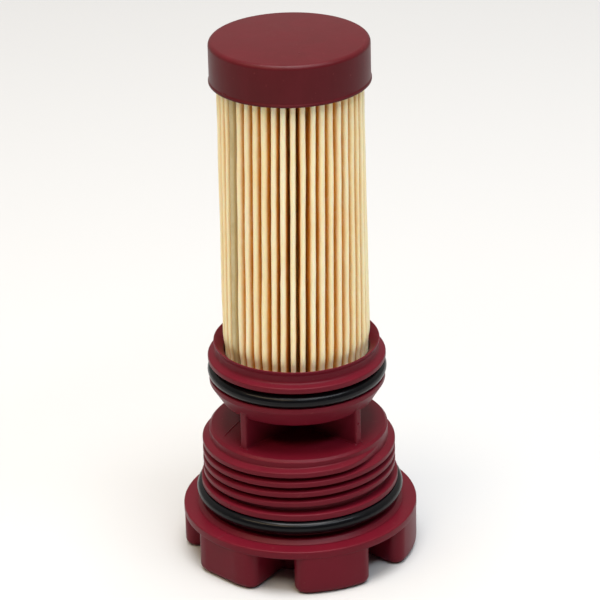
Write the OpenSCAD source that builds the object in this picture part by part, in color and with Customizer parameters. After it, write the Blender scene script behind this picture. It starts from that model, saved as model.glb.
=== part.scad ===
// Screw-in fuel filter cartridge for a small marine engine.
// A pleated paper element stands in an O-ring sealed cup. Four fins carry the
// cup above a threaded plug with six turning lugs, leaving an open outlet window.
// Millimetres. Origin: centre of the lug feet. +Z: the cartridge axis, towards the cap.

/* [Node] */
// Sub-part to draw, or all of them

/* [Turning lugs] */
// Height of the lugs below the flange
lug_h = 10.5; // [8:0.1:14]
// Radius of the lugs' outer faces
lug_r = 30.6; // [26:0.1:31]
// Radius of the ring wall that joins the lugs
hub_r = 17.2; // [15.5:0.1:20]
// Direction of the first gap between two lugs
gap_az = 257.3; // [0:0.1:360]
// Number of lugs and gaps
lug_count = 6; // [4:1:8]
// Distance from a gap's middle to its straight wall
gap_straight = 4.1; // [3:0.1:6]
// Distance from a gap's middle to its slanted wall at the ring
gap_inner = 0.7; // [0:0.1:3]
// Slant of that wall, in degrees
gap_slant = 21.8; // [10:0.1:30]
// Rounding along the lugs' lower edges
lug_round = 1.8; // [0.5:0.1:3]
// Rounding of the lugs' upright edges
lug_corner = 3.0; // [1:0.1:5]
// Direction of the mould's parting line
parting_az = 225.5; // [180:0.1:270]
// Distance from the axis to the two flats at the parting line
flat_d = 30.1; // [28:0.05:31]

/* [Flange and barrel] */
// Radius of the flange
flange_r = 30.7; // [28:0.1:34]
// Thickness of the flange
flange_t = 2.1; // [1.5:0.1:4]
// Radius of the raised seat ring on the flange
seat_r = 26.95; // [25:0.05:29]
// Height of the seat ring above the flange
seat_h = 1.1; // [0.5:0.1:3]
// Bevel round the seat ring's top edge
seat_bevel = 1.0; // [0.2:0.1:1]
// Radius of the neck that carries the large O-ring
neck_r = 23.7; // [22:0.05:25]
// Height of the O-ring neck
neck_h = 5.25; // [4:0.05:6]
// Radius of the plain collar below the thread
collar_r = 25.8; // [24:0.1:28]
// Height of the plain collar
collar_h = 1.75; // [1:0.05:5]
// Height of the barrel above the collar
barrel_h = 14.4; // [10:0.1:20]
// Chamfer round the barrel's top edge
disc_chamfer = 0.6; // [0.2:0.1:1.5]
// Radius of the pocket that hollows the plug from below
pocket_r = 14.4; // [10:0.1:15]
// Thickness of the disc that closes the barrel
disc_t = 3.5; // [2:0.1:6]

/* [Thread] */
// Outside radius of the thread
thread_r = 25.2; // [24:0.05:27]
// Radius at the bottom of the thread grooves
root_r = 23.3; // [22:0.05:25]
// Thread pitch
pitch = 2.8; // [2:0.05:4]
// Width of the flat on the thread crest
crest_w = 1.3; // [0.4:0.1:2]
// Width of the ridge where it meets the barrel
ridge_w = 2.3; // [1:0.1:2.7]
// Height of the ridge's middle at its top end, above the collar
thread_top = 11.6; // [6:0.1:13]
// Direction in which the ridge ends at the top
thread_end_az = 335; // [0:1:360]
// Number of turns
turns = 3.6; // [2:0.1:5]
// Length over which the ridge fades at each end, in degrees
fade = 42; // [10:1:90]

/* [Outlet window] */
// Height of the window between barrel and cup
window_h = 8.4; // [5:0.1:15]
// Thickness of the fins
fin_t = 2.0; // [1:0.1:4]
// Direction of the first fin
fin_az = 47.4; // [0:0.1:90]
// Radius of the fins' outer edges
fin_r = 21.0; // [15:0.1:23]

/* [Cup] */
// Radius of the cup's flat underside
bowl_r = 20.0; // [16:0.1:22]
// Height of the cup's conical part
bowl_h = 4.6; // [2:0.1:8]
// Radius of the wall below the O-ring groove
low_wall_r = 22.85; // [21:0.05:24]
// Height of the wall below the O-ring groove
low_wall_h = 1.3; // [0.8:0.1:3]
// Radius of the O-ring groove's floor
groove_r = 19.85; // [19:0.05:21]
// Width of the O-ring groove
groove_w = 4.5; // [3.6:0.1:6]
// Radius of the cup's collar above the groove
cup_collar_r = 23.05; // [21:0.05:24]
// Height of the collar's straight edge
cup_collar_h = 1.5; // [1:0.1:4]
// Radius of the cup's lip
lip_r = 21.5; // [20:0.05:23]
// Thickness of the lip
lip_t = 0.7; // [0.4:0.1:2]
// Height of the hollow between collar and lip
hollow_h = 3.1; // [1:0.1:4]
// Inside radius of the cup
cup_in_r = 18.95; // [17:0.05:19.2]
// Thickness of the cup's floor
cup_floor = 1.8; // [1:0.1:4]
// Radius of the outlet hole in the cup's floor
outlet_r = 8.0; // [5:0.1:9]
// Outside radius of the spigot round the outlet hole
spigot_r = 10.05; // [9:0.05:11]
// Height of the spigot above the cup's floor
spigot_h = 6.0; // [2:0.1:10]

/* [O-rings] */
// Section radius of both O-rings
ring_a = 1.7; // [1.2:0.05:2]

/* [Element] */
// Radius over the tips of the pleats
media_r = 18.75; // [16:0.05:19]
// Radius of the pleats' inner folds
media_in_r = 11.45; // [10:0.05:13]
// Number of pleats
pleats = 46; // [36:1:60]
// Thickness of the filter paper
paper_t = 0.5; // [0.3:0.05:0.8]
// Half width of one pleat
pleat_w = 0.72; // [0.5:0.01:0.8]
// Number of the pleat in which the paper's two ends meet
seam_pleat = 27; // [0:1:60]
// Half width of that pleat
seam_w = 0.85; // [0.7:0.01:0.9]
// Outside radius of the core tube
core_r = 11.2; // [10:0.05:12]
// Wall thickness of the core tube
core_t = 1.0; // [0.6:0.1:2]
// Radius of the holes in the core tube
core_hole_r = 2.2; // [1:0.1:3]
// Rows of holes along the core tube
core_rows = 11; // [4:1:16]
// Depth of the adhesive in the cup
low_pot_h = 4.0; // [1:0.1:6]
// Depth of the adhesive in the cap
up_pot_h = 2.8; // [1:0.1:5]

/* [End cap] */
// Outside radius of the end cap
cap_r = 20.25; // [18:0.05:23]
// Height of the end cap
cap_h = 10.8; // [6:0.1:16]
// Wall thickness of the end cap
cap_wall = 1.1; // [0.8:0.1:2]
// Thickness of the end cap's top
cap_top = 1.6; // [1:0.1:3]
// Rounding of the end cap's top edge
cap_round = 1.2; // [0.3:0.1:3]
// Radius of the thin rim round the end cap's lower edge
cap_rim_r = 20.45; // [20:0.05:22]
// Overall height of the cartridge
total_h = 141.0; // [110:0.5:170]

/* [Hidden] */
$fn = 96;
flange_top = lug_h + flange_t;
seat_top = flange_top + seat_h;
collar_bot = seat_top + neck_h;
collar_top = collar_bot + collar_h;
disc_top = collar_top + barrel_h;
cup_bot = disc_top + window_h;
low_wall_bot = cup_bot + bowl_h;
groove_bot = low_wall_bot + low_wall_h;
groove_top = groove_bot + groove_w;
cup_collar_top = groove_top + cup_collar_h;
lip_bot = cup_collar_top + hollow_h;
cup_top = lip_bot + lip_t;
floor_z = cup_bot + cup_floor;
low_pot_top = floor_z + low_pot_h;
cap_bot = total_h - cap_h;
cap_in_top = total_h - cap_top;
media_top = cap_in_top - up_pot_h;
plug_ring_z = collar_bot - ring_a - 0.25;
cup_ring_z = groove_bot + ring_a + 0.05;
moulding = [0.42, 0.06, 0.11];
rubber = [0.05, 0.05, 0.05];
paper = [0.86, 0.72, 0.48];
adhesive = [0.80, 0.74, 0.60];
nylon = [0.75, 0.75, 0.72];
steps_per_turn = 72;
thread_steps = round(turns * steps_per_turn);

// Points of a circular arc, from angle a0 to a1, about (cx, cy).
function arc(cx, cy, r, a0, a1, n) =
    [for (i = [0 : n]) let (a = a0 + (a1 - a0) * i / n) [cx + r * cos(a), cy + r * sin(a)]];

// A point at radius r on the axis at angle a, moved s sideways.
function polar_off(r, a, s) = [r * cos(a) - s * sin(a), r * sin(a) + s * cos(a)];

// Fraction of full height that the thread ridge has at step i.
function ridge_h(i) =
    let (deg = 360 / steps_per_turn)
    min(1, min(i, thread_steps - i) * deg / fade);

// The ridge's four corners at step i; its lower end stands on the collar.
function ridge_ring(i) =
    let (deg = 360 / steps_per_turn,
         a = thread_end_az - (thread_steps - i) * deg,
         z = collar_top + thread_top - (thread_steps - i) * pitch / steps_per_turn,
         rb = root_r / cos(deg / 2),
         rt = rb + 0.05 + (thread_r - rb - 0.05) * ridge_h(i))
    [[rb * cos(a), rb * sin(a), max(z - ridge_w / 2, collar_top)],
     [rt * cos(a), rt * sin(a), max(z - crest_w / 2, collar_top)],
     [rt * cos(a), rt * sin(a), z + crest_w / 2],
     [rb * cos(a), rb * sin(a), z + ridge_w / 2]];

// Direction of pleat i.
function pleat_az(i) = 360 / pleats * (i + 0.5);

// Valley after pleat i, s to the side of its middle.
function valley(r, i, s) = polar_off(r, pleat_az(i) + 180 / pleats, s);

// Outer outline of pleat i: left leg, round tip, right leg, narrow valley.
function pleat_out(i) =
    let (a = pleat_az(i), w = pleat_w)
    [polar_off(media_in_r + paper_t + 0.35, a, -w), polar_off(media_r - 0.95, a, -w),
     polar_off(media_r - 0.45, a, -0.88 * w), polar_off(media_r - 0.12, a, -0.5 * w),
     polar_off(media_r, a, 0), polar_off(media_r - 0.12, a, 0.5 * w),
     polar_off(media_r - 0.45, a, 0.88 * w), polar_off(media_r - 0.95, a, w),
     polar_off(media_in_r + paper_t + 0.35, a, w), valley(media_in_r + paper_t, i, 0)];

// Inner outline of pleat i, one paper thickness inside the outer one.
function pleat_in(i) =
    let (a = pleat_az(i), w = pleat_w - paper_t)
    [polar_off(media_in_r + 0.1, a, -w - 0.12), polar_off(media_in_r + 0.6, a, -w),
     polar_off(media_r - 1.0, a, -w), polar_off(media_r - paper_t - 0.1, a, -0.6 * w),
     polar_off(media_r - paper_t - 0.1, a, 0.6 * w), polar_off(media_r - 1.0, a, w),
     polar_off(media_in_r + 0.6, a, w), polar_off(media_in_r + 0.1, a, w + 0.12),
     valley(media_in_r, i, -0.22), valley(media_in_r, i, 0.22)];

// The strip's first and last legs, which stand on either side of the seam.
seam_a = pleat_az(seam_pleat);
seam_in = seam_w - paper_t;
seam_end_r = media_r - 0.3;
leg_r = media_in_r + paper_t + 0.35;
first_out = [polar_off(seam_end_r, seam_a, seam_w), polar_off(leg_r, seam_a, seam_w),
             valley(media_in_r + paper_t, seam_pleat, 0)];
last_out = [polar_off(leg_r, seam_a, -seam_w), polar_off(seam_end_r, seam_a, -seam_w)];
first_in = [polar_off(seam_end_r, seam_a, seam_in), polar_off(media_in_r + 0.6, seam_a, seam_in),
            polar_off(media_in_r + 0.1, seam_a, seam_in + 0.12),
            valley(media_in_r, seam_pleat, -0.22), valley(media_in_r, seam_pleat, 0.22)];
last_in = [polar_off(media_in_r + 0.1, seam_a, -seam_in - 0.12),
           polar_off(media_in_r + 0.6, seam_a, -seam_in), polar_off(seam_end_r, seam_a, -seam_in)];
strip_out = concat(first_out, [for (k = [1 : pleats - 1]) each pleat_out(seam_pleat + k)], last_out);
strip_in = concat(first_in, [for (k = [1 : pleats - 1]) each pleat_in(seam_pleat + k)], last_in);

// A plan point turned about the axis.
function turned(p, a) = [p[0] * cos(a) - p[1] * sin(a), p[0] * sin(a) + p[1] * cos(a)];

// Rounded upright edge between the outer face and a wall that runs w beside the radial line.
function lug_edge(w) =
    let (y = w + lug_corner, x = sqrt(pow(lug_r - lug_corner, 2) - pow(y, 2)))
    arc(x, y, lug_corner, -90, atan2(y, x), 8);

// Distance from the axis to the line of the slanted wall.
slant_w = hub_r * sin(gap_slant) - gap_inner * cos(gap_slant);

// Space between two lugs: one straight wall and one slanted wall.
module lug_gap() {
    straight = lug_edge(gap_straight);
    slanted = [for (p = lug_edge(-slant_w)) turned([p[0], -p[1]], -gap_slant)];
    n = len(straight);
    translate([0, 0, -1])
        linear_extrude(height = lug_h + 2)
            polygon(concat([[hub_r - 4, gap_straight], [hub_r - 4, 4 * tan(gap_slant) - gap_inner]],
                           slanted, [1.2 * slanted[n - 1], [1.3 * lug_r, 0], 1.2 * straight[n - 1]],
                           [for (i = [1 : n]) straight[n - i]]));
}

// Cutter that rounds one lower edge of a lug; the wall lies on the x axis, solid at y > 0.
module edge_cutter(length) {
    difference() {
        translate([-1, -1, -1])
            cube([length + 2, lug_round + 1, lug_round + 1]);
        translate([-2, lug_round, lug_round])
            rotate([0, 90, 0])
                cylinder(r = lug_round, h = length + 4);
    }
}

// Flat on the lugs' outer faces at the mould's parting line, with its lower edge rounded.
module parting_flat() {
    translate([flat_d, -8, -1])
        cube([4, 16, lug_h + 1]);
    translate([flat_d, -5.5, 0])
        rotate([0, 0, 90])
            edge_cutter(11);
}

// Six lugs on a ring wall, hollow in the middle.
module lug_ring() {
    wall_len = lug_r - hub_r + 6;
    color(moulding)
        difference() {
            rotate_extrude()
                polygon(concat([[pocket_r, 0.6], [pocket_r + 0.6, 0]],
                               arc(lug_r - lug_round, lug_round, lug_round, -90, 0, 8),
                               [[lug_r, lug_h], [pocket_r, lug_h]]));
            for (k = [0 : lug_count - 1])
                rotate([0, 0, gap_az + k * 360 / lug_count]) {
                    difference() {
                        lug_gap();
                        translate([0, 0, -2])
                            cylinder(r = hub_r, h = lug_h + 4);
                    }
                    translate([hub_r - 0.5, gap_straight, 0])
                        edge_cutter(wall_len);
                    translate([hub_r, -gap_inner, 0])
                        rotate([0, 0, -gap_slant])
                            mirror([0, 1, 0])
                                edge_cutter(wall_len);
                }
            for (side = [0, 180])
                rotate([0, 0, parting_az + side])
                    parting_flat();
        }
}

// Flange, seat ring, O-ring neck, collar and closed barrel.
module plug_body() {
    color(moulding)
        rotate_extrude()
            polygon([[pocket_r, lug_h], [flange_r - 0.3, lug_h], [flange_r, lug_h + 0.3],
                     [flange_r, flange_top - 0.5], [flange_r - 0.5, flange_top],
                     [seat_r, flange_top], [seat_r, seat_top - seat_bevel], [seat_r - seat_bevel, seat_top],
                     [neck_r, seat_top], [neck_r, collar_bot], [collar_r - 0.2, collar_bot],
                     [collar_r, collar_bot + 0.2], [collar_r, collar_top - 0.3],
                     [collar_r - 0.3, collar_top], [root_r, collar_top],
                     [root_r, disc_top - disc_chamfer], [root_r - disc_chamfer, disc_top],
                     [0, disc_top], [0, disc_top - disc_t], [pocket_r, disc_top - disc_t]]);
}

// Helical ridge of the single-start right-hand thread.
module plug_thread() {
    n = thread_steps;
    rings = [for (i = [0 : n]) each ridge_ring(i)];
    sides = [for (i = [0 : n - 1], j = [0 : 3])
                let (a = 4 * i + j, b = 4 * i + (j + 1) % 4)
                each [[a, a + 4, b], [b, a + 4, b + 4]]];
    ends = [[0, 1, 2], [0, 2, 3], [4 * n, 4 * n + 2, 4 * n + 1], [4 * n, 4 * n + 3, 4 * n + 2]];
    color(moulding)
        polyhedron(points = rings, faces = concat(sides, ends));
}

// O-ring on the neck below the collar.
module plug_o_ring() {
    color(rubber)
        translate([0, 0, plug_ring_z])
            rotate_extrude()
                translate([neck_r + ring_a, 0])
                    circle(r = ring_a);
}

// Crossed fins that carry the cup above the barrel.
module outlet_fins() {
    color(moulding)
        difference() {
            union() {
                for (a = [fin_az, fin_az + 90])
                    rotate([0, 0, a])
                        translate([-fin_r, -fin_t / 2, disc_top])
                            cube([2 * fin_r, fin_t, window_h + 2]);
            }
            translate([0, 0, cup_bot])
                cylinder(r = bowl_r, h = 4);
            translate([0, 0, cup_bot])
                cylinder(r1 = bowl_r, r2 = low_wall_r, h = bowl_h);
        }
}

// Cup with its O-ring groove, collar and lip; the floor has an outlet hole in a spigot.
module element_cup() {
    color(moulding)
        rotate_extrude()
            polygon(concat([[outlet_r, cup_bot], [bowl_r, cup_bot], [low_wall_r, low_wall_bot],
                            [low_wall_r, groove_bot], [groove_r, groove_bot],
                            [groove_r, groove_top], [cup_collar_r, groove_top],
                            [cup_collar_r, cup_collar_top - 0.3]],
                           arc(cup_collar_r - 0.5, cup_collar_top - 0.3, 0.5, 0, 70, 4),
                           [[lip_r - 0.45, cup_collar_top + 0.6], [lip_r - 0.5, cup_collar_top + 1.2],
                            [lip_r - 0.35, lip_bot - 0.2], [lip_r, cup_top - 0.3],
                            [lip_r - 0.1, cup_top], [lip_r - 0.3, cup_top],
                            [cup_in_r, cup_top - 2.2], [cup_in_r, low_wall_bot + 0.3],
                            [cup_in_r - 1.7, floor_z], [spigot_r, floor_z],
                            [spigot_r, floor_z + spigot_h - 0.4],
                            [spigot_r - 0.4, floor_z + spigot_h], [outlet_r, floor_z + spigot_h]]));
}

// O-ring in the cup's groove.
module cup_o_ring() {
    color(rubber)
        translate([0, 0, cup_ring_z])
            rotate_extrude()
                translate([groove_r + ring_a, 0])
                    circle(r = ring_a);
}

// Adhesive that bonds the paper to the cup.
module lower_potting() {
    color(adhesive)
        rotate_extrude()
            polygon([[core_r, floor_z], [cup_in_r - 1.7, floor_z], [cup_in_r, low_wall_bot + 0.3],
                     [cup_in_r, low_pot_top], [core_r, low_pot_top]]);
}

// Perforated tube that supports the paper from inside.
module core_tube() {
    row_gap = (media_top - floor_z - 14) / (core_rows - 1);
    color(nylon)
        difference() {
            translate([0, 0, floor_z])
                cylinder(r = core_r, h = media_top - floor_z);
            translate([0, 0, floor_z - 1])
                cylinder(r = core_r - core_t, h = media_top - floor_z + 2);
            for (i = [0 : core_rows - 1], k = [0 : 2])
                translate([0, 0, floor_z + 8 + i * row_gap])
                    rotate([0, 0, 60 * k + 30 * (i % 2)])
                        rotate([0, 90, 0])
                            cylinder(r = core_hole_r, h = 4 * core_r, center = true);
        }
}

// Pleated filter paper: one folded strip whose two ends stand side by side at the seam.
module pleated_media() {
    n = len(strip_in);
    color(paper)
        translate([0, 0, low_pot_top])
            linear_extrude(height = media_top - low_pot_top)
                polygon(concat(strip_out, [for (i = [1 : n]) strip_in[n - i]]));
}

// Adhesive bead between the paper's two ends.
module media_seam() {
    color(adhesive)
        translate([0, 0, low_pot_top])
            linear_extrude(height = media_top - low_pot_top)
                polygon([polar_off(media_in_r + 2, seam_a, -seam_in),
                         polar_off(media_r - 0.45, seam_a, -seam_in),
                         polar_off(media_r - 0.15, seam_a, -0.5 * seam_in),
                         polar_off(media_r - 0.15, seam_a, 0.5 * seam_in),
                         polar_off(media_r - 0.45, seam_a, seam_in),
                         polar_off(media_in_r + 2, seam_a, seam_in)]);
}

// Adhesive that bonds paper and core tube to the cap.
module upper_potting() {
    color(adhesive)
        translate([0, 0, media_top])
            cylinder(r = cap_r - cap_wall, h = up_pot_h);
}

// Moulded cap over the top of the element.
module end_cap() {
    color(moulding)
        rotate_extrude()
            polygon(concat([[cap_r - cap_wall, cap_bot], [cap_rim_r - 0.1, cap_bot],
                            [cap_rim_r, cap_bot + 0.15], [cap_rim_r, cap_bot + 0.4],
                            [cap_r, cap_bot + 0.8]],
                           arc(cap_r - cap_round, total_h - cap_round, cap_round, 0, 90, 8),
                           [[0, total_h], [0, cap_in_top], [cap_r - cap_wall, cap_in_top]]));
}

lug_ring();
plug_body();
plug_thread();
plug_o_ring();
outlet_fins();
element_cup();
cup_o_ring();
lower_potting();
core_tube();
pleated_media();
media_seam();
upper_potting();
end_cap();
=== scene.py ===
"""Screw-in fuel filter cartridge: detailed pieces, materials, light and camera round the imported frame.

Outlines are in millimetres and become metres in piece(). Nodes with no piece of their own keep their CAD mesh.
"""
import math
import random

import bmesh
import bpy
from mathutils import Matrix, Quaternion, Vector, noise
from mathutils.geometry import tessellate_polygon

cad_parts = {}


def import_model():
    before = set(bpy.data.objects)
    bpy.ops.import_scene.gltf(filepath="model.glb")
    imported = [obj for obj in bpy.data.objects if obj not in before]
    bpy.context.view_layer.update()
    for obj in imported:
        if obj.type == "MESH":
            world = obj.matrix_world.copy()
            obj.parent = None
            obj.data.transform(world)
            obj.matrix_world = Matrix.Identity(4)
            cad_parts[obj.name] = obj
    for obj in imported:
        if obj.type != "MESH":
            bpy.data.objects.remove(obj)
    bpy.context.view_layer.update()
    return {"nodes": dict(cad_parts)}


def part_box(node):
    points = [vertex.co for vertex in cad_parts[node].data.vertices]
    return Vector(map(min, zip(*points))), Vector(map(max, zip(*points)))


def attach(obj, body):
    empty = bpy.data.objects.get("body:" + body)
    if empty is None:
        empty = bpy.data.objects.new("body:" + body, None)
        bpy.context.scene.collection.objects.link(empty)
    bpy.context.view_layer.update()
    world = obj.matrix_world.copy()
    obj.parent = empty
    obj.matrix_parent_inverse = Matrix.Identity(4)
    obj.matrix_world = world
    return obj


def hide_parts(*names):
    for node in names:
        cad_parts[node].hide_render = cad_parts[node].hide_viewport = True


MM = 0.001
BODY = "root"
TURN = 2 * math.pi

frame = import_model()
scene = bpy.context.scene


def span(node):
    """Lowest z, highest z and outer radius of a CAD node, in mm."""
    low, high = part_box(node)
    return low.z / MM, high.z / MM, high.x / MM


_, LUG_TOP, _ = span("lug_ring")
_, DISC_TOP, FLANGE_R = span("plug_body")
PLUG_RING_LOW, PLUG_RING_HIGH, PLUG_RING_R = span("plug_o_ring")
CUP_BOTTOM, CUP_TOP, CUP_R = span("element_cup")
CUP_RING_LOW, CUP_RING_HIGH, CUP_RING_R = span("cup_o_ring")
MEDIA_BOTTOM, MEDIA_TOP, MEDIA_R = span("pleated_media")
CAP_BOTTOM, TOTAL_TOP, CAP_RIM_R = span("end_cap")


# ---------------------------------------------------------------- outlines and meshes

def rounded(points, steps=4, closed=False):
    """Outline through (x, y) or (x, y, radius) corners, with each given radius turned into an arc."""
    out = []
    count = len(points)
    for i, point in enumerate(points):
        radius = point[2] if len(point) > 2 else 0
        if not radius or (not closed and i in (0, count - 1)):
            out.append((point[0], point[1]))
            continue
        before, corner = Vector(points[i - 1][:2]), Vector(point[:2])
        after = Vector(points[(i + 1) % count][:2])
        u, v = (before - corner), (after - corner)
        room = 0.48 * min(u.length, v.length)
        u.normalize()
        v.normalize()
        half = u.angle(v) / 2
        reach = min(radius / math.tan(half), room)
        radius = reach * math.tan(half)
        centre = corner + (u + v).normalized() * (radius / math.sin(half))
        start, end = corner + u * reach - centre, corner + v * reach - centre
        first = math.atan2(start.y, start.x)
        sweep = math.atan2(end.y, end.x) - first
        sweep = (sweep + math.pi) % TURN - math.pi
        for k in range(steps + 1):
            angle = first + sweep * k / steps
            out.append((centre.x + radius * math.cos(angle), centre.y + radius * math.sin(angle)))
    return out


def lathe(profile, segments=224, closed=False):
    """Vertices and faces of an (r, z) outline turned about the axis. An open outline ends on the axis."""
    verts, faces, rings = [], [], []
    for r, z in profile:
        if r < 1e-6:
            rings.append([len(verts)] * segments)
            verts.append((0.0, 0.0, z))
            continue
        rings.append(list(range(len(verts), len(verts) + segments)))
        for s in range(segments):
            angle = TURN * s / segments
            verts.append((r * math.cos(angle), r * math.sin(angle), z))
    pairs = list(zip(rings, rings[1:]))
    if closed:
        pairs.append((rings[-1], rings[0]))
    for low, high in pairs:
        for s in range(segments):
            t = (s + 1) % segments
            face = []
            for index in (low[s], low[t], high[t], high[s]):
                if index not in face:
                    face.append(index)
            faces.append(face)
    return verts, faces


def skin(rings, closed=True):
    """Faces between successive rings of equal length, given as lists of vertex numbers."""
    faces = []
    for low, high in zip(rings, rings[1:]):
        count = len(low)
        for i in range(count if closed else count - 1):
            j = (i + 1) % count
            faces.append((low[i], low[j], high[j], high[i]))
    return faces


def lump(r, azimuth, z, size, seed, up=True):
    """Small rounded lump, half sunk in the wall that it sits on."""
    verts, rings = [], []
    for ring in range(1, 6):
        tilt = math.pi * ring / 6
        rings.append(list(range(len(verts), len(verts) + 10)))
        for s in range(10):
            turn = TURN * s / 10
            rough = 1 + 0.3 * noise.noise(Vector((math.cos(turn) * 2 + seed, math.sin(turn) * 2, tilt)))
            a = size[0] * math.sin(tilt) * math.cos(turn) * rough
            b = size[1] * math.sin(tilt) * math.sin(turn) * rough
            c = size[2] * math.cos(tilt)
            verts.append((*polar(r + (b if up else c), azimuth, a), z + (c if up else b)))
    poles = []
    for sign in (1, -1):
        poles.append(len(verts))
        verts.append((*polar(r + (0 if up else sign * size[2]), azimuth), z + (sign * size[2] if up else 0)))
    faces = skin(rings)
    for s in range(10):
        t = (s + 1) % 10
        faces.append((rings[0][t], rings[0][s], poles[0]))
        faces.append((rings[-1][s], rings[-1][t], poles[1]))
    return verts, faces


def merge(*parts):
    """Several (vertices, faces) pairs as one."""
    verts, faces = [], []
    for part_verts, part_faces in parts:
        shift = len(verts)
        verts += part_verts
        faces += [tuple(i + shift for i in face) for face in part_faces]
    return verts, faces


def piece(name, shape, material, nodes, sharp=32.0):
    """A finished mesh object, given in mm, that stands for the CAD nodes."""
    verts, faces = shape
    mesh = bpy.data.meshes.new(name)
    mesh.from_pydata([(x * MM, y * MM, z * MM) for x, y, z in verts], [], faces)
    mesh.validate()
    mesh.shade_smooth()
    mesh.set_sharp_from_angle(angle=math.radians(sharp))
    mesh.materials.append(material)
    ob = bpy.data.objects.new(name, mesh)
    scene.collection.objects.link(ob)
    face_out(mesh)
    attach(ob, BODY)
    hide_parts(*nodes)
    return ob


def face_out(mesh):
    """Turns every face outwards."""
    bm = bmesh.new()
    bm.from_mesh(mesh)
    bmesh.ops.recalc_face_normals(bm, faces=bm.faces)
    bm.to_mesh(mesh)
    bm.free()
    mesh.update()


def polar(r, degrees, aside=0.0):
    """Point at radius r in a direction, moved aside across that direction."""
    a = math.radians(degrees)
    return r * math.cos(a) - aside * math.sin(a), r * math.sin(a) + aside * math.cos(a)


# ---------------------------------------------------------------- materials

class Nodes:
    """Short ways to add shader nodes to one material."""

    def __init__(self, name):
        self.material = bpy.data.materials.new(name)
        self.material.use_nodes = True
        self.tree = self.material.node_tree
        self.tree.nodes.clear()
        self.out = self.add("ShaderNodeOutputMaterial")
        self.shader = self.add("ShaderNodeBsdfPrincipled")
        self.link(self.shader.outputs["BSDF"], self.out.inputs["Surface"])
        self.place = self.add("ShaderNodeTexCoord").outputs["Object"]

    def add(self, kind, **values):
        node = self.tree.nodes.new(kind)
        for key, value in values.items():
            setattr(node, key, value)
        return node

    def link(self, a, b):
        self.tree.links.new(a, b)

    def feed(self, socket, value):
        if hasattr(value, "is_output"):
            self.link(value, socket)
        else:
            socket.default_value = value

    def noise(self, scale, detail=3.0, rough=0.55, vector=None):
        node = self.add("ShaderNodeTexNoise")
        self.link(vector or self.place, node.inputs["Vector"])
        node.inputs["Scale"].default_value = scale
        node.inputs["Detail"].default_value = detail
        node.inputs["Roughness"].default_value = rough
        return node.outputs["Fac"]

    def stretch(self, x, y, z):
        node = self.add("ShaderNodeMapping")
        self.link(self.place, node.inputs["Vector"])
        node.inputs["Scale"].default_value = (x, y, z)
        return node.outputs["Vector"]

    def ramp(self, value, low, high, to_low=0.0, to_high=1.0):
        node = self.add("ShaderNodeMapRange")
        self.link(value, node.inputs["Value"])
        for key, number in (("From Min", low), ("From Max", high), ("To Min", to_low), ("To Max", to_high)):
            node.inputs[key].default_value = number
        return node.outputs["Result"]

    def math(self, operation, a, b):
        node = self.add("ShaderNodeMath", operation=operation)
        self.feed(node.inputs[0], a)
        self.feed(node.inputs[1], b)
        return node.outputs[0]

    def mix(self, factor, a, b):
        node = self.add("ShaderNodeMix", data_type="RGBA")
        self.feed(node.inputs[0], factor)
        self.feed(node.inputs[6], a)
        self.feed(node.inputs[7], b)
        return node.outputs[2]

    def bump(self, height, distance, strength=1.0, normal=None):
        node = self.add("ShaderNodeBump")
        self.link(height, node.inputs["Height"])
        node.inputs["Distance"].default_value = distance
        node.inputs["Strength"].default_value = strength
        if normal:
            self.link(normal, node.inputs["Normal"])
        return node.outputs["Normal"]

    def attribute(self, name):
        return self.add("ShaderNodeAttribute", attribute_name=name).outputs["Fac"]

    def set(self, **values):
        for key, value in values.items():
            self.feed(self.shader.inputs[key.replace("_", " ")], value)


def srgb(r, g, b):
    """An sRGB colour, 0 to 255, as a linear one."""
    def linear(c):
        c /= 255
        return c / 12.92 if c <= 0.04045 else ((c + 0.055) / 1.055) ** 2.4
    return linear(r), linear(g), linear(b), 1.0


def moulding_material(name, plain, light, gloss):
    """Maroon injection-moulded plastic: faintly clouded colour, a fine grain, specks of dust."""
    m = Nodes(name)
    cloud = m.noise(95, 4, 0.6)
    grain = m.noise(2600, 2, 0.5)
    swirl = m.noise(260, 3, 0.6, m.stretch(1, 1, 0.25))
    colour = m.mix(m.ramp(cloud, 0.3, 0.7), plain, light)
    colour = m.mix(m.ramp(swirl, 0.42, 0.75, 0.0, 0.2), colour, srgb(97, 23, 34))
    speck = m.ramp(m.noise(900, 2, 0.4), 0.70, 0.78, 0.0, 0.3)
    colour = m.mix(speck, colour, srgb(122, 58, 58))
    m.set(Base_Color=colour, Roughness=m.ramp(cloud, 0.25, 0.75, 0.36, 0.42))
    m.set(Specular_IOR_Level=gloss, IOR=1.5)
    m.set(Normal=m.bump(grain, 0.00002, 0.3, m.bump(swirl, 0.00006, 0.25)))
    return m.material


def rubber_material():
    """Black nitrile rubber with a soft gloss and a trace of dust."""
    m = Nodes("o_ring_rubber")
    cloud = m.noise(140, 4, 0.6)
    grain = m.noise(3200, 2, 0.5)
    dust = m.ramp(m.noise(700, 4, 0.65), 0.58, 0.8, 0.0, 0.2)
    colour = m.mix(dust, srgb(11, 11, 14), srgb(44, 42, 40))
    m.set(Base_Color=colour, Roughness=m.ramp(cloud, 0.3, 0.7, 0.18, 0.27), Specular_IOR_Level=0.17)
    m.set(Normal=m.bump(grain, 0.00002, 0.3))
    return m.material


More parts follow.
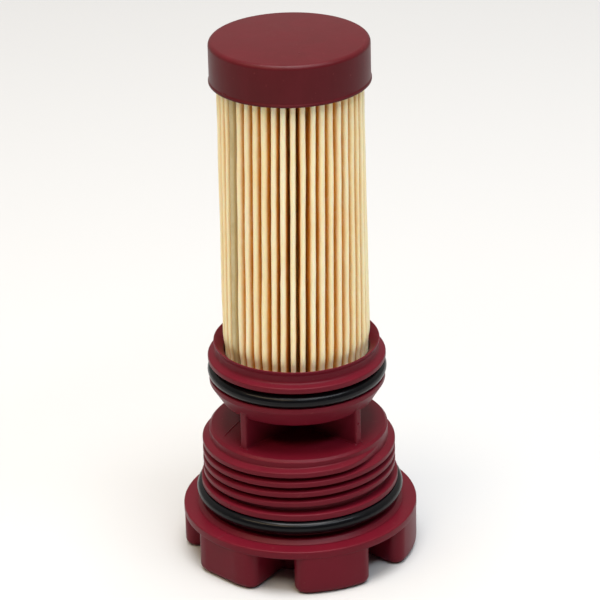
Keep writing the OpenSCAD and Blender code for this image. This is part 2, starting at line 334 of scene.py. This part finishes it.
def paper_material():
    """Resin-stiffened filter paper: cream fold tips, fibres and blotches, and a painted amber shade towards the
    valleys that stands for light shining through the paper and bouncing between the folds.

    Reads three values of the mesh: tone of the pleat, soak of adhesive, and mm inward from the pack's edge.
    """
    m = Nodes("filter_paper")
    fibre = m.noise(900, 5, 0.7, m.stretch(1.0, 1.0, 0.55))
    fuzz = m.noise(2600, 3, 0.6)
    blotch = m.noise(130, 4, 0.6, m.stretch(1, 1, 0.5))
    # Painted shade: the colour turns from the tip colour to a darker amber between 0.2 and 1.5 mm inward from
    # the pack's edge, standing for light coming through the paper and bouncing between the folds.
    shade_fade = m.ramp(m.attribute("inward"), 1.5, 0.2)
    tone = m.attribute("tone")
    tip = m.mix(tone, srgb(246, 230, 186), srgb(252, 241, 208))
    tip = m.mix(m.ramp(blotch, 0.35, 0.7, 0.0, 0.4), tip, srgb(244, 212, 148))
    # Painted shade colour for the valleys: amber that stands for light shining through the paper and shade
    # between the folds.
    valley_shade = m.mix(m.ramp(blotch, 0.3, 0.7), srgb(244, 184, 82), srgb(234, 164, 62))
    colour = m.mix(shade_fade, valley_shade, tip)
    colour = m.mix(m.ramp(fibre, 0.5, 0.75, 0.0, 0.3), colour, srgb(250, 240, 216))
    colour = m.mix(m.ramp(fuzz, 0.6, 0.8, 0.0, 0.18), colour, srgb(206, 148, 80))
    colour = m.mix(m.attribute("soak"), colour, srgb(206, 186, 136))
    height = m.math("ADD", m.math("MULTIPLY", fibre, 0.7), m.math("MULTIPLY", fuzz, 0.3))
    m.set(Base_Color=colour, Roughness=0.9, Specular_IOR_Level=0.18, Subsurface_Weight=0.25,
          Subsurface_Scale=0.0012, Subsurface_Radius=(1.0, 0.55, 0.25))
    m.set(Normal=m.bump(height, 0.00012, 0.55))
    return m.material


def adhesive_material(name, base, dark):
    """Cured adhesive: a little wavy and uneven in colour."""
    m = Nodes(name)
    cloud = m.noise(220, 4, 0.6)
    colour = m.mix(m.ramp(cloud, 0.3, 0.7), base, dark)
    m.set(Base_Color=colour, Roughness=m.ramp(cloud, 0.3, 0.7, 0.4, 0.6), Specular_IOR_Level=0.4)
    m.set(Normal=m.bump(m.noise(600, 3, 0.6), 0.0001, 0.5))
    return m.material


def nylon_material():
    """Natural nylon with faint flow marks along the tube."""
    m = Nodes("core_nylon")
    flow = m.noise(240, 4, 0.6, m.stretch(1, 1, 0.15))
    colour = m.mix(m.ramp(flow, 0.3, 0.7), srgb(214, 210, 196), srgb(196, 190, 172))
    m.set(Base_Color=colour, Roughness=m.ramp(flow, 0.3, 0.7, 0.35, 0.5), Specular_IOR_Level=0.5)
    m.set(Normal=m.bump(m.noise(1500, 2, 0.5), 0.00004, 0.4))
    return m.material


MAROON = moulding_material("plug_moulding", srgb(96, 15, 30), srgb(102, 17, 33), 0.13)
# Painted shade and painted warm light: the cap's maroon is a darker, less blue copy of the plug's maroon,
# standing for the dimmer light on the cap's side and the warm light on its top.
CAP_MAROON_PAINTED_SHADE = moulding_material("cap_moulding", srgb(78, 16, 22), srgb(83, 18, 25), 0.16)
RUBBER = rubber_material()
PAPER = paper_material()
POTTING = adhesive_material("adhesive", srgb(206, 190, 150), srgb(184, 164, 118))
SEAM_GLUE = adhesive_material("seam_adhesive", srgb(204, 190, 146), srgb(182, 164, 116))
NYLON = nylon_material()


# ---------------------------------------------------------------- plug

HUB_R, LUG_R = 17.2, 30.6
POCKET_R = 14.4
GAP_AZ = 257.3
GAP_STRAIGHT, GAP_INNER, GAP_SLANT = 4.1, 0.7, 21.8
LUG_COUNT, LUG_ROUND, LUG_CORNER = 6, 1.8, 3.0
HUB_CORNER = 0.8
PARTING_AZ, FLAT_D = 225.5, 30.1
FLARE = 0.5


def meet_circle(point, direction, radius):
    """Where a line through point in direction leaves a circle about the origin."""
    d = Vector(direction).normalized()
    p = Vector(point)
    along = p.dot(d)
    return p + d * (-along + math.sqrt(along * along - p.length_squared + radius * radius))


def lug_edge(beside, outer, corner):
    """Rounded upright edge between a wall beside the radial line and the outer face."""
    y = beside + corner
    x = math.sqrt((outer - corner) ** 2 - y * y)
    last = math.atan2(y, x)
    angles = [-math.pi / 2 + (last + math.pi / 2) * i / 10 for i in range(11)]
    return [Vector((x + corner * math.cos(t), y + corner * math.sin(t))) for t in angles]


def lug_outline(inset, hub_inset):
    """Plan outline of the lugs on their ring wall: walls and outer face moved in by inset, cut by two flats."""
    lean = math.radians(GAP_SLANT)
    outward = Vector((math.cos(lean), -math.sin(lean)))
    inward = Vector((-math.sin(lean), -math.cos(lean)))
    hub, outer, flat = HUB_R - hub_inset, LUG_R - max(inset, 0.0), FLAT_D - max(inset, 0.0)
    corner = LUG_CORNER - inset
    a = meet_circle(Vector((HUB_R, -GAP_INNER)) + inward * inset, outward, hub)
    b = meet_circle((0, GAP_STRAIGHT + inset), (1, 0), hub)
    wall = HUB_R * math.sin(lean) - GAP_INNER * math.cos(lean)
    straight = lug_edge(GAP_STRAIGHT + inset, outer, corner)
    slanted = []
    for p in lug_edge(-wall + inset, outer, corner):
        slanted.append(Vector(polar(p.x, -GAP_SLANT, -p.y)))
    first, last = math.atan2(straight[-1].y, straight[-1].x), math.atan2(slanted[-1].y, slanted[-1].x)
    reach = last + TURN / LUG_COUNT - first
    sweep = [Vector(polar(outer, math.degrees(first + reach * i / 20))) for i in range(1, 20)]
    hub_first, hub_last = math.atan2(a.y, a.x) + 0.07, math.atan2(b.y, b.x) - 0.07
    wall_arc = [Vector(polar(hub, math.degrees(hub_first + (hub_last - hub_first) * i / 6))) for i in range(7)]
    one_lug = [(a, HUB_CORNER)] + [(p, 0) for p in wall_arc] + [(b, HUB_CORNER)]
    one_lug += [(p, 0) for p in straight + sweep]
    points, step = [], 360 / LUG_COUNT
    for k in range(LUG_COUNT):
        turn = GAP_AZ + step * k
        points += [(*polar(p.x, turn, p.y), radius) for p, radius in one_lug]
        points += [(*polar(p.x, turn + step, p.y), 0) for p in reversed(slanted)]
    cut = []
    for x, y, radius in points:
        for side in (PARTING_AZ, PARTING_AZ + 180):
            nx, ny = polar(1, side)
            beyond = max(0.0, x * nx + y * ny - flat)
            x, y = x - nx * beyond, y - ny * beyond
        cut.append((x, y, radius) if radius else (x, y))
    return rounded(cut, 5, closed=True)


def lug_ring_shape():
    """Six lugs on a ring wall: rounded feet, a fillet under the flange, a pocket through the middle."""
    levels = []
    for j in range(9):
        t = math.radians(90 * j / 8)
        levels.append((LUG_ROUND * (1 - math.cos(t)), LUG_ROUND * (1 - math.sin(t)), 0.35 * (1 - math.sin(t))))
    levels.append((LUG_TOP - FLARE - 3, 0.0, 0.0))
    for j in range(6):
        t = math.radians(90 * j / 5)
        out = -FLARE * (1 - math.cos(t))
        levels.append((LUG_TOP - FLARE + FLARE * math.sin(t), out, out))
    levels.append((LUG_TOP + 0.2, -FLARE, -FLARE))
    verts, rings = [], []
    for z, inset, hub_inset in levels:
        outline = lug_outline(inset, hub_inset)
        rings.append(list(range(len(verts), len(verts) + len(outline))))
        verts += [(x, y, z) for x, y in outline]
    faces = skin(rings)
    inner, segments = [], 120
    for r, z in ((POCKET_R + 0.6, 0.0), (POCKET_R + 0.15, 0.15), (POCKET_R, 0.6), (POCKET_R, LUG_TOP + 0.2)):
        inner.append(list(range(len(verts), len(verts) + segments)))
        verts += [(*polar(r, 360 * s / segments), z) for s in range(segments)]
    faces += skin(inner)
    for outer_ring, inner_ring in ((rings[0], inner[0]), (rings[-1], inner[-1])):
        numbers = outer_ring + inner_ring
        flat = [[Vector((verts[i][0], verts[i][1], 0)) for i in ring] for ring in (outer_ring, inner_ring)]
        faces += [tuple(numbers[i] for i in tri) for tri in tessellate_polygon(flat)]
    return verts, faces


COLLAR_R, COLLAR_H = 25.8, 1.75
COLLAR_BOTTOM = PLUG_RING_HIGH + 0.25
COLLAR_TOP = COLLAR_BOTTOM + COLLAR_H
ROOT_R, THREAD_R = 23.3, 25.2
FLANGE_TOP = LUG_TOP + 2.1
SEAT_R, SEAT_TOP, SEAT_BEVEL = 26.95, FLANGE_TOP + 1.1, 1.0
NECK_R = 23.7
DISC_T, DISC_CHAMFER = 3.5, 0.65


def plug_body_shape():
    """Flange, seat ring, O-ring neck, collar and closed barrel, hollow from below."""
    profile = rounded([
        (0, DISC_TOP - DISC_T), (POCKET_R, DISC_TOP - DISC_T, 1.2), (POCKET_R, LUG_TOP),
        (FLANGE_R, LUG_TOP, 0.25), (FLANGE_R, FLANGE_TOP, 0.4), (SEAT_R, FLANGE_TOP),
        (SEAT_R, SEAT_TOP - SEAT_BEVEL), (SEAT_R - SEAT_BEVEL, SEAT_TOP, 0.25),
        (NECK_R, SEAT_TOP, 0.3), (NECK_R, COLLAR_BOTTOM, 0.2), (COLLAR_R, COLLAR_BOTTOM, 0.25),
        (COLLAR_R, COLLAR_TOP, 0.4), (ROOT_R, COLLAR_TOP, 0.3),
        (ROOT_R, DISC_TOP - DISC_CHAMFER, 0.2), (ROOT_R - DISC_CHAMFER, DISC_TOP, 0.25), (0, DISC_TOP)], 5)
    return lathe(profile, 256)


def parting_ridge(points, azimuth, half_width):
    """Thin raised line of flash that follows (r, z) points, its back sunk in the wall."""
    verts = []
    for r, z, out_r, out_z in points:
        for aside, lift in ((-half_width, 0.0), (0.0, 1.0), (half_width, 0.0)):
            x, y = polar(r + out_r * lift, azimuth, aside)
            verts.append((x, y, z + out_z * lift))
        x, y = polar(r - out_r * 1.5, azimuth, 0)
        verts.append((x, y, z - out_z * 1.5))
    rings = [list(range(4 * i, 4 * i + 4)) for i in range(len(points))]
    return verts, skin(rings) + [tuple(rings[0]), tuple(reversed(rings[-1]))]


def flow_line(start, end, z, height, half_width):
    """Low straight ridge left on a flat face by the meeting of two flows, its back sunk in the face."""
    start, end = Vector(start), Vector(end)
    along = (end - start).normalized()
    aside = Vector((-along.y, along.x)) * half_width
    verts, rings = [], []
    for share, rise in ((0.0, 0.15), (0.12, 0.8), (0.5, 1.0), (0.88, 0.8), (1.0, 0.1)):
        p = start.lerp(end, share)
        rings.append(list(range(len(verts), len(verts) + 4)))
        verts += [(p.x - aside.x, p.y - aside.y, z - 0.01), (p.x, p.y, z + height * rise),
                  (p.x + aside.x, p.y + aside.y, z - 0.01), (p.x, p.y, z - 0.3)]
    return verts, skin(rings) + [tuple(rings[0]), tuple(reversed(rings[-1]))]


THREAD_PITCH, THREAD_END_AZ, THREAD_TURNS, THREAD_FADE = 2.8, 335.0, 3.6, 42.0
THREAD_TOP = COLLAR_TOP + 11.6


def thread_shape():
    """Right-hand helical ridge with rounded crest, flared foot and faded ends."""
    shade_fade = THREAD_R - ROOT_R
    section = rounded([(-0.12, -1.38), (0.02, -1.30), (0.14, -1.12, 0.15), (shade_fade, -0.66, 0.28),
                       (shade_fade, 0.66, 0.28), (0.14, 1.12, 0.15), (0.02, 1.30), (-0.12, 1.38)], 4)
    per_turn = 120
    steps = round(THREAD_TURNS * per_turn)
    verts, rings = [], []
    for i in range(steps + 1):
        degrees = 360 / per_turn
        azimuth = THREAD_END_AZ - (steps - i) * degrees
        z = THREAD_TOP - (steps - i) * THREAD_PITCH / per_turn
        rise = min(1.0, min(i, steps - i) * degrees / THREAD_FADE)
        rise = rise * rise * (3 - 2 * rise)
        rings.append(list(range(len(verts), len(verts) + len(section))))
        for dr, dz in section:
            r = ROOT_R + (dr * rise - 0.05 * (1 - rise) if dr > 0 else dr)
            verts.append((*polar(r, azimuth), max(z + dz, COLLAR_TOP - 0.02 * (dz + 2))))
    return verts, skin(rings) + [tuple(rings[0]), tuple(reversed(rings[-1]))]


piece("lug_ring_moulding", lug_ring_shape(), MAROON, ["lug_ring"])
piece("plug_body_moulding", merge(
    plug_body_shape(),
    parting_ridge([(SEAT_R + 0.15, FLANGE_TOP, 0, 0.13), (FLANGE_R - 0.5, FLANGE_TOP, 0, 0.13),
                   (FLANGE_R - 0.14, FLANGE_TOP - 0.14, 0.07, 0.07)], PARTING_AZ, 0.16),
    parting_ridge([(COLLAR_R, COLLAR_BOTTOM + 0.3, 0.13, 0), (COLLAR_R, COLLAR_TOP - 0.4, 0.13, 0)],
                  PARTING_AZ, 0.17),
    flow_line((-14.9, 1.6), (-19.4, -8.3), DISC_TOP, 0.16, 0.28)), MAROON, ["plug_body"])
piece("thread_ridge", thread_shape(), MAROON, ["plug_thread"])


# ---------------------------------------------------------------- O-rings

def o_ring_shape(low, high, outer_r, segments=256, around=36):
    """O-ring with a faint unevenness along its length."""
    section_r = (high - low) / 2
    major, middle = outer_r - section_r, (low + high) / 2
    verts, rings = [], []
    for s in range(segments):
        azimuth = 360 * s / segments
        sway = 0.02 * noise.noise(Vector((*polar(1.6, azimuth), low)))
        rings.append(list(range(len(verts), len(verts) + around)))
        for k in range(around):
            angle = TURN * k / around
            r = major + (section_r - 0.02 + sway) * math.cos(angle)
            verts.append((*polar(r, azimuth), middle + (section_r - 0.02) * math.sin(angle)))
    return verts, skin(rings + [rings[0]])


piece("large_o_ring", o_ring_shape(PLUG_RING_LOW, PLUG_RING_HIGH, PLUG_RING_R),
      RUBBER, ["plug_o_ring"])
piece("small_o_ring", o_ring_shape(CUP_RING_LOW, CUP_RING_HIGH, CUP_RING_R),
      RUBBER, ["cup_o_ring"])


# ---------------------------------------------------------------- fins and cup

FIN_AZ, FIN_R, FIN_HALF, FIN_FLARE = 47.4, 21.0, 1.0, 0.45
BOWL_R, BOWL_H = 20.0, 4.6
LOW_WALL_R, LOW_WALL_H = 22.85, 1.3
GROOVE_R, GROOVE_W = 19.85, 4.5
CUP_COLLAR_H, LIP_T = 1.5, 0.7
CUP_IN_R, CUP_FLOOR = 18.95, 1.8
OUTLET_R, SPIGOT_R, SPIGOT_H = 8.0, 10.05, 6.0


def fins_shape():
    """Crossed fins with rounded outer edges, flared into the disc below and the cup above."""
    top = CUP_BOTTOM + 0.1
    levels = [(DISC_TOP - 0.15, FIN_FLARE), (DISC_TOP, FIN_FLARE), (DISC_TOP + 0.12, 0.24),
              (DISC_TOP + 0.3, 0.08), (DISC_TOP + 0.55, 0.0), (top - 0.65, 0.0),
              (top - 0.4, 0.08), (top - 0.22, 0.24), (top - 0.1, 0.4), (top, 0.4)]
    lift = (FIN_R - BOWL_R) * 1.6
    verts, rings = [], []
    for z, out in levels:
        half, reach = FIN_HALF + out, FIN_R + 0.35 * out
        points = []
        for arm in range(4):
            turn = FIN_AZ + 90 * arm
            for r, aside, radius in ((reach - 1.2, -half, 0), (reach, -half, 0.35), (reach, half, 0.35),
                                     (reach - 1.2, half, 0), (half, half, 0.5)):
                x, y = polar(r, turn, aside)
                points.append((x, y, radius) if radius else (x, y))
        outline = rounded(points, 4, closed=True)
        rings.append(list(range(len(verts), len(verts) + len(outline))))
        for x, y in outline:
            r = math.hypot(x, y)
            share = max(0.0, min(1.0, (z - DISC_TOP - 4) / (top - DISC_TOP - 4)))
            extra = lift * share * max(0.0, (r - BOWL_R + 0.3) / 0.9)
            verts.append((x, y, z + extra))
    nub = lump(FIN_R - 0.05, FIN_AZ + 270, DISC_TOP + 5.6, (0.45, 0.4, 0.25), 5, up=False)
    return merge((verts, skin(rings) + [tuple(rings[0]), tuple(reversed(rings[-1]))]), nub)


def cup_shape():
    """Cup: conical bowl, O-ring groove, collar, steep wall and thin lip; its floor has a spigot."""
    low_wall = CUP_BOTTOM + BOWL_H
    groove_low = low_wall + LOW_WALL_H
    groove_high = groove_low + GROOVE_W
    collar_high = groove_high + CUP_COLLAR_H
    lip_low = CUP_TOP - LIP_T
    inside = CUP_BOTTOM + CUP_FLOOR
    spigot_top = inside + SPIGOT_H
    profile = rounded([
        (OUTLET_R, CUP_BOTTOM, 0.3), (BOWL_R, CUP_BOTTOM, 0.7), (LOW_WALL_R, low_wall, 0.5),
        (LOW_WALL_R, groove_low, 0.25), (GROOVE_R, groove_low, 0.25), (GROOVE_R, groove_high, 0.25),
        (CUP_R, groove_high, 0.25), (CUP_R, collar_high - 0.05, 0.5), (22.4, collar_high + 0.12, 0.3),
        (21.0, collar_high + 0.55, 0.8), (21.05, lip_low - 0.5, 0.8), (21.5, CUP_TOP - 0.3, 0.5),
        (21.45, CUP_TOP, 0.12), (21.2, CUP_TOP, 0.1), (CUP_IN_R, CUP_TOP - 2.2, 0.5),
        (CUP_IN_R, low_wall + 0.3, 0.5), (CUP_IN_R - 1.7, inside, 0.3), (SPIGOT_R, inside, 0.3),
        (SPIGOT_R, spigot_top, 0.35), (OUTLET_R, spigot_top, 0.35)], 5, closed=True)
    return lathe(profile, 256, closed=True)


piece("outlet_fins_moulding", fins_shape(), MAROON, ["outlet_fins"])
piece("element_cup_moulding", cup_shape(), MAROON, ["element_cup"])


# ---------------------------------------------------------------- filter paper

PLEATS, SEAM_PLEAT = 46, 27
PAPER_T, PLEAT_HALF, SEAM_HALF = 0.5, 0.72, 0.85
MEDIA_IN_R = 11.45
LEG_FOOT_R = MEDIA_IN_R + PAPER_T + 0.45
PAPER_LEVELS = 56
TWIST = 0.066
draw = random.Random(7)
pleat_shift = [draw.uniform(-0.11, 0.11) for _ in range(PLEATS)]
pleat_half = [PLEAT_HALF + draw.uniform(-0.06, 0.05) for _ in range(PLEATS)]
pleat_reach = [draw.uniform(-0.14, 0.0) for _ in range(PLEATS)]
pleat_tone = [draw.random() for _ in range(PLEATS)]


def wander(i, z, kind, length):
    """Smooth random number, -1 to 1, for pleat i at height z."""
    return 2.2 * noise.noise(Vector((i * 3.7 + kind * 19.1, z / length, kind * 7.3)))


def pack_edge(z):
    """Radius over the pleat tips at height z: tight in the cap and in the cup, widest just above the cup."""
    widest = CUP_TOP + 2.5
    if z >= widest:
        return MEDIA_R - 0.13 + 0.55 * (MEDIA_TOP - z) / (MEDIA_TOP - widest)
    share = max(0.0, min(1.0, (widest - z) / 4.5))
    return MEDIA_R + 0.42 - 0.5 * share * share * (3 - 2 * share)


def pleat_azimuth(i, z):
    """Direction of pleat i at height z; the pack is wound by a few degrees between its ends."""
    return 360 / PLEATS * (i + 0.5) + TWIST * (z - 100)


def pleat_line(i, z, grip):
    """Middle line of pleat i at height z, from its left leg to its right leg, with the tip between."""
    k = i % PLEATS
    free = 1 - 0.75 * grip
    azimuth = pleat_azimuth(i, z)
    aside = (pleat_shift[k] + 0.06 * wander(k, z, 0, 17.0) + 0.015 * wander(k, z, 4, 3.2)) * free
    half = pleat_half[k] + (0.03 * wander(k, z, 1, 9.0) + 0.012 * wander(k, z, 5, 2.2)) * free - PAPER_T / 2
    edge = pack_edge(z)
    reach = edge + (pleat_reach[k] + 0.05 * wander(k, z, 2, 9.0)) * free - PAPER_T / 2
    reach = min(reach, edge - PAPER_T / 2)
    bow = 0.16 * wander(k, z, 3, 16.0) * free
    line = []
    legs = (0.0, 0.12, 0.3, 0.5, 0.7, 0.87, 1.0)
    shoulder = reach - half

    def leg_point(share, side):
        r = LEG_FOOT_R + (shoulder - LEG_FOOT_R) * share
        drift = aside * share + bow * math.sin(math.pi * share)
        width = (0.44 + (half - 0.44) * min(1.0, share * 1.6)) * side
        return polar(r, azimuth, drift + width)

    line += [leg_point(share, -1) for share in legs]
    for step in range(1, 8):
        angle = math.pi * step / 8
        flat = 1.0 - 0.12 * math.sin(angle)
        line.append(polar(shoulder + half * math.sin(angle) * flat, azimuth, aside - half * math.cos(angle)))
    line += [leg_point(share, 1) for share in reversed(legs)]
    return line


def valley_line(i, z):
    """Middle line of the valley after pleat i at height z."""
    azimuth = pleat_azimuth(i, z) + 180 / PLEATS
    r = MEDIA_IN_R + PAPER_T / 2
    return [polar(r + 0.12, azimuth, -0.33), polar(r, azimuth, -0.15), polar(r, azimuth, 0.15),
            polar(r + 0.12, azimuth, 0.33)]


def paper_line(z, grip):
    """Middle line of the whole strip at height z, with each point's tone and how far it is soaked in glue."""
    azimuth = pleat_azimuth(SEAM_PLEAT, z)
    side = SEAM_HALF - PAPER_T / 2
    sway = 0.08 * wander(60, z, 0, 14.0) * (1 - grip)
    end = pack_edge(z) - 0.28
    shares = (1.0, 0.93, 0.82, 0.65, 0.45, 0.25, 0.0)
    soak = (1.0, 1.0, 0.85, 0.5, 0.2, 0.0, 0.0)
    first = [polar(LEG_FOOT_R + (end - LEG_FOOT_R) * s, azimuth, side + sway * s) for s in shares]
    last = [polar(LEG_FOOT_R + (end - LEG_FOOT_R) * s, azimuth, -side + sway * s) for s in reversed(shares)]
    points, tones, soaks = list(first), [0.4] * 7, list(soak)
    for k in range(PLEATS):
        i = SEAM_PLEAT + k
        if k:
            line = pleat_line(i, z, grip)
            points += line
            tones += [pleat_tone[i % PLEATS]] * len(line)
            soaks += [0.0] * len(line)
        line = valley_line(i, z)
        points += line
        tones += [0.5] * len(line)
        soaks += [0.0] * len(line)
    points += last
    tones += [0.4] * 7
    soaks += list(reversed(soak))
    return [Vector(p) for p in points], tones, soaks


def paper_shape():
    """The folded strip as a closed solid one paper thickness deep."""
    verts, faces, tones, soaks, outer, inner = [], [], [], [], [], []
    for level in range(PAPER_LEVELS + 1):
        z = MEDIA_BOTTOM + (MEDIA_TOP - MEDIA_BOTTOM) * level / PAPER_LEVELS
        ends = min(z - MEDIA_BOTTOM, MEDIA_TOP - z)
        grip = max(0.0, 1 - ends / 9.0)
        points, tone, soak = paper_line(z, grip)
        count = len(points)
        sides = []
        for k in range(count):
            along = (points[min(k + 1, count - 1)] - points[max(k - 1, 0)]).normalized()
            sides.append(Vector((along.y, -along.x)) * (PAPER_T / 2))
        outer.append(list(range(len(verts), len(verts) + count)))
        verts += [(*(p + s), z) for p, s in zip(points, sides)]
        inner.append(list(range(len(verts), len(verts) + count)))
        verts += [(*(p - s), z) for p, s in zip(points, sides)]
        tones += tone * 2
        soaks += soak * 2
    rings = [o + list(reversed(n)) for o, n in zip(outer, inner)]
    faces += skin(rings)
    for o, n in ((outer[0], inner[0]), (outer[-1], inner[-1])):
        faces += [(o[k], o[k + 1], n[k + 1], n[k]) for k in range(len(o) - 1)]
    return verts, faces, tones, soaks


def add_values(ob, name, values):
    ob.data.attributes.new(name, "FLOAT", "POINT").data.foreach_set("value", values)


verts, faces, tones, soaks = paper_shape()
paper = piece("pleated_paper", (verts, faces), PAPER, ["pleated_media"], sharp=60)
add_values(paper, "tone", tones)
add_values(paper, "soak", soaks)
add_values(paper, "inward", [pack_edge(z) - math.hypot(x, y) for x, y, z in verts])


def seam_shape():
    """Bead of adhesive between the strip's two ends, which laps over them a little."""
    gap = SEAM_HALF - PAPER_T
    verts, rings = [], []
    for level in range(PAPER_LEVELS + 1):
        z = MEDIA_BOTTOM + (MEDIA_TOP - MEDIA_BOTTOM) * level / PAPER_LEVELS
        azimuth = pleat_azimuth(SEAM_PLEAT, z)
        grip = max(0.0, 1 - min(z - MEDIA_BOTTOM, MEDIA_TOP - z) / 9.0)
        sway = 0.08 * wander(60, z, 0, 14.0) * (1 - grip)
        lap = SEAM_HALF - 0.12 + 0.05 * wander(61, z, 0, 5.0)
        edge = pack_edge(z) - 0.26
        top = edge + 0.18 + 0.05 * wander(62, z, 0, 4.0)
        outline = [(MEDIA_IN_R + 2, -gap), (edge - 0.02, -gap), (edge, -lap), (edge + 0.1, -lap + 0.04),
                   (top - 0.04, -0.4 * lap), (top, 0.0), (top - 0.04, 0.4 * lap), (edge + 0.1, lap - 0.04),
                   (edge, lap), (edge - 0.02, gap), (MEDIA_IN_R + 2, gap)]
        rings.append(list(range(len(verts), len(verts) + len(outline))))
        for r, aside in outline:
            share = (r - MEDIA_IN_R) / (MEDIA_R - MEDIA_IN_R)
            verts.append((*polar(min(r, pack_edge(z) - 0.01), azimuth, aside + sway * share), z))
    return verts, skin(rings) + [tuple(rings[0]), tuple(reversed(rings[-1]))]


piece("seam_bead", seam_shape(), SEAM_GLUE, ["media_seam"], sharp=50)


# ---------------------------------------------------------------- end cap

CAP_R, CAP_IN_R = 20.25, 19.15
CAP_TOP, CAP_CEILING = TOTAL_TOP - 0.05, TOTAL_TOP - 1.6


def cap_shape():
    """End cap: rounded top edge, straight wall, thin rim, hollow inside."""
    profile = rounded([
        (0, CAP_TOP), (CAP_R, CAP_TOP, 1.2), (CAP_R, CAP_BOTTOM + 0.85, 0.3),
        (CAP_RIM_R, CAP_BOTTOM + 0.5, 0.12), (CAP_RIM_R, CAP_BOTTOM, 0.1), (CAP_IN_R, CAP_BOTTOM, 0.15),
        (CAP_IN_R, CAP_CEILING, 0.5), (0, CAP_CEILING)], 7)
    return lathe(profile, 256)


piece("end_cap_moulding", merge(
    cap_shape(),
    lump(11.3, 282.3, CAP_TOP - 0.03, (0.42, 0.34, 0.075), 1),
    lump(CAP_R - 0.05, 216.5, CAP_BOTTOM + 0.75, (1.0, 0.5, 0.22), 2, up=False),
    lump(CAP_R - 0.05, 219.4, CAP_BOTTOM + 0.5, (0.7, 0.4, 0.2), 3, up=False)),
    CAP_MAROON_PAINTED_SHADE, ["end_cap"])


# ---------------------------------------------------------------- carried-over nodes

def finish_node(node, material):
    """Puts a material on a CAD node that stays as it is."""
    slots = frame["nodes"][node].data.materials
    slots.clear()
    slots.append(material)


finish_node("core_tube", NYLON)
finish_node("lower_potting", POTTING)
finish_node("upper_potting", POTTING)


# ---------------------------------------------------------------- floor, light and camera

def floor():
    """Plain pale floor, just below the feet."""
    mesh = bpy.data.meshes.new("floor")
    half, z = 4.0, -0.00004
    corners = [(-half, -half, z), (half, -half, z), (half, half, z), (-half, half, z)]
    mesh.from_pydata(corners, [], [(0, 1, 2, 3)])
    ob = bpy.data.objects.new("floor", mesh)
    scene.collection.objects.link(ob)
    m = Nodes("floor_white")
    m.set(Base_Color=(0.58, 0.58, 0.58, 1), Roughness=0.9, Specular_IOR_Level=0.1)
    mesh.materials.append(m.material)


LIGHT_TARGET = Vector((0, 0, 0.07))


def softbox(name, azimuth, elevation, distance, size, power, colour):
    """Rectangular area light that looks at the cartridge's middle from a direction."""
    light = bpy.data.lights.new(name, "AREA")
    light.shape = "RECTANGLE"
    light.size, light.size_y = size
    light.energy = power
    light.color = colour
    ob = bpy.data.objects.new(name, light)
    scene.collection.objects.link(ob)
    a, e = math.radians(azimuth), math.radians(elevation)
    away = Vector((math.cos(a) * math.cos(e), math.sin(a) * math.cos(e), math.sin(e)))
    ob.location = LIGHT_TARGET + away * distance
    ob.rotation_euler = away.to_track_quat("Z", "Y").to_euler()


def world():
    """Dim studio: dark in front, a pale wall behind."""
    w = bpy.data.worlds.new("studio")
    scene.world = w
    w.use_nodes = True
    tree = w.node_tree
    back = tree.nodes["Background"]
    split = tree.nodes.new("ShaderNodeSeparateXYZ")
    tree.links.new(tree.nodes.new("ShaderNodeTexCoord").outputs["Generated"], split.inputs[0])
    ramp = tree.nodes.new("ShaderNodeMapRange")
    ramp.interpolation_type = "SMOOTHSTEP"
    tree.links.new(split.outputs["Y"], ramp.inputs["Value"])
    for key, number in (("From Min", -0.75), ("From Max", 0.6), ("To Min", 0.06), ("To Max", 0.5)):
        ramp.inputs[key].default_value = number
    tree.links.new(ramp.outputs["Result"], back.inputs["Strength"])
    back.inputs["Color"].default_value = (1, 0.96, 0.9, 1)


floor()
world()
softbox("key_right", 308, 54, 0.9, (0.85, 0.16), 3.9, (0.86, 0.93, 1.0))
softbox("fill_left", 225, 50, 0.9, (0.8, 0.16), 3.0, (1.0, 0.78, 0.5))
softbox("top", 270, 86, 1.4, (0.85, 0.85), 26.0, (1.0, 1.0, 1.0))

camera = bpy.data.cameras.new("camera")
camera.lens, camera.sensor_width = 192.0, 36.0
camera.clip_start, camera.clip_end = 0.05, 20.0
eye = bpy.data.objects.new("camera", camera)
scene.collection.objects.link(eye)
ELEVATION, DISTANCE, ROLL = math.radians(24.49), 0.8224, math.radians(-1.38)
aim = Vector((0.00117, 0, 0.0696))
away = Vector((0, -math.cos(ELEVATION), math.sin(ELEVATION)))
eye.location = aim + away * DISTANCE
turn = away.to_track_quat("Z", "Y")
eye.rotation_mode = "QUATERNION"
eye.rotation_quaternion = turn @ Quaternion((0, 0, 1), ROLL)
scene.camera = eye
scene.view_settings.view_transform = "Standard"
